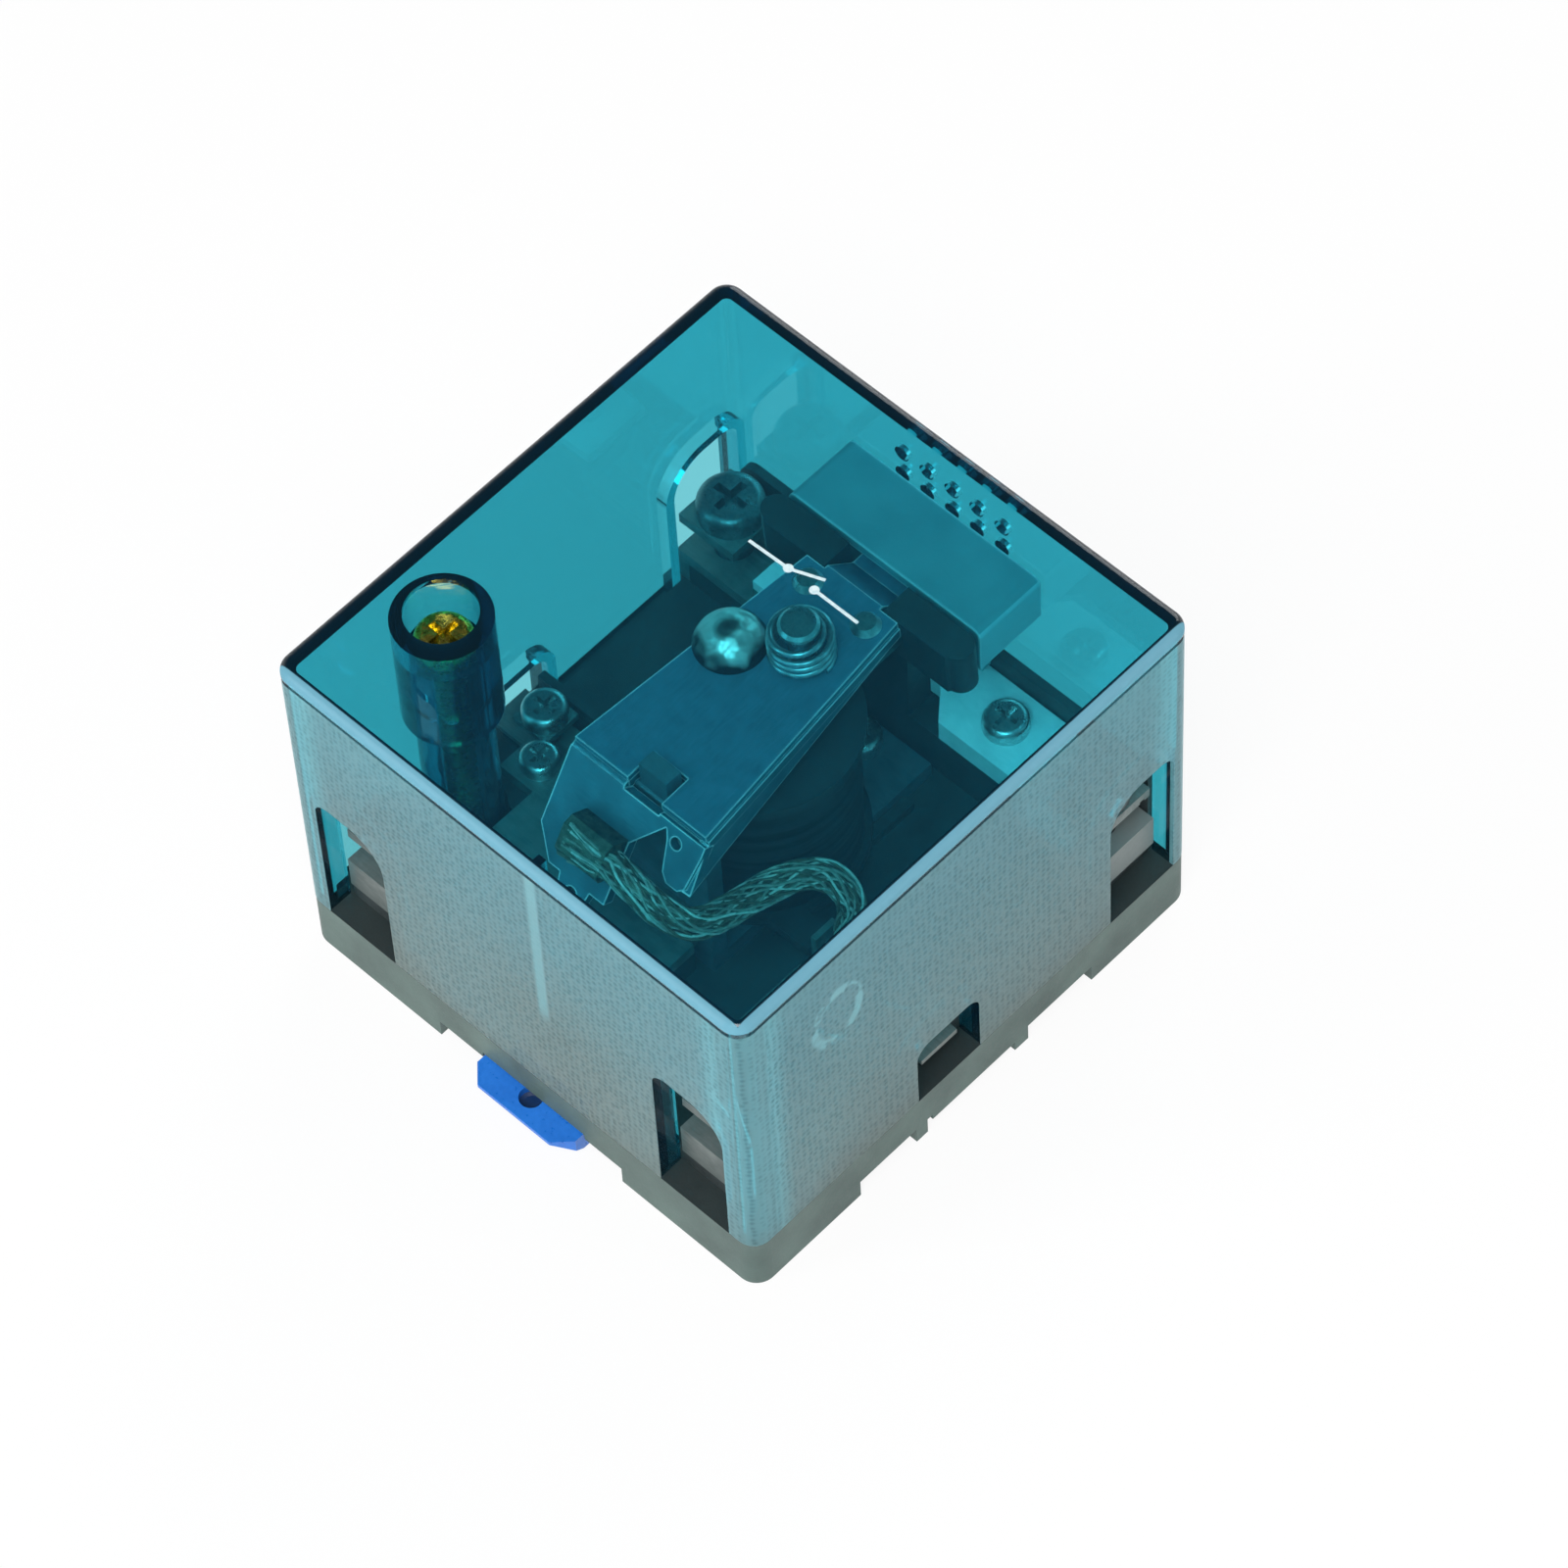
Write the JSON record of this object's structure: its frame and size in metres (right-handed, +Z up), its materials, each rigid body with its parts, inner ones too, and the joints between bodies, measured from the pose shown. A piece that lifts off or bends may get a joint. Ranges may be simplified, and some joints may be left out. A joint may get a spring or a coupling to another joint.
{
  "type": "power relay",
  "caption": "Square power relay with screw terminals and a hinged armature under a clear cover, on a base that snaps onto a rail.",
  "frame": {"origin": "middle of the rail seat, on the plane of the feet", "axes": "+X along the rail, -Y towards the side with the clip, +Z up out of the top of the cover"},
  "size_m": [0.0738, 0.0784, 0.0564],
  "materials": {
    "grey_plastic": "satin",
    "blue_plastic": "gloss",
    "black_plastic": "satin",
    "clear_cover": "gloss",
    "brass": "polished",
    "zinc_steel": "satin",
    "spring_steel": "satin",
    "bright_nickel": "polished",
    "contact_silver": "satin",
    "tinned_copper": "satin",
    "copper": "satin",
    "copper_braid": "satin",
    "coil_tape": "satin"
  },
  "bodies": {
    "housing": {"rail_base": "grey_plastic", "base_screws": "zinc_steel", "inner_base": "black_plastic", "cover": "clear_cover", "cover_screw": "brass", "yoke": "zinc_steel", "yoke_screw": "zinc_steel", "yoke_rivets": "zinc_steel", "core": "zinc_steel", "bobbin": "black_plastic", "winding": "coil_tape", "fixed_contact": "contact_silver", "contact_bracket": "tinned_copper", "arc_hood": "black_plastic", "terminal_front_left": "tinned_copper", "terminal_front_right": "tinned_copper", "terminal_rear_left": "tinned_copper", "terminal_rear_right": "tinned_copper", "terminal_screws": "zinc_steel", "clamp_plates": "zinc_steel", "strip_screws": "zinc_steel", "coil_terminal_left": "tinned_copper", "coil_terminal_right": "tinned_copper", "coil_screws": "zinc_steel", "coil_clamps": "zinc_steel", "spring_anchor": "zinc_steel", "braid_foot": "tinned_copper", "braid": "copper_braid", "return_spring": "spring_steel", "clip_spring": "spring_steel"},
    "moving_armature": {"armature": "zinc_steel", "contact_blade": "copper", "dome_rivet": "bright_nickel", "pressure_stud": "zinc_steel", "pressure_spring": "spring_steel", "carrier": "black_plastic", "carrier_rivets": "zinc_steel", "moving_contact": "contact_silver", "braid_weld": "copper_braid"},
    "clip": {"rail_clip": "blue_plastic"}
  },
  "joints": [
    {"name": "armature_hinge", "type": "hinge", "parent": "housing", "child": "moving_armature", "pos_m": [0, -0.0144, 0.0411], "axis": [1, 0, 0], "range_deg": [-3, 0], "stiffness_Nm_per_rad": 0.3, "springref_deg": 11.46, "deforming": ["return_spring", "braid"]},
    {"name": "clip_slide", "type": "slide", "parent": "housing", "child": "clip", "axis": [0, -1, 0], "range_m": [0, 0.0045], "stiffness_N_per_m": 500, "springref_m": -0.003, "deforming": ["clip_spring"]}
  ]
}
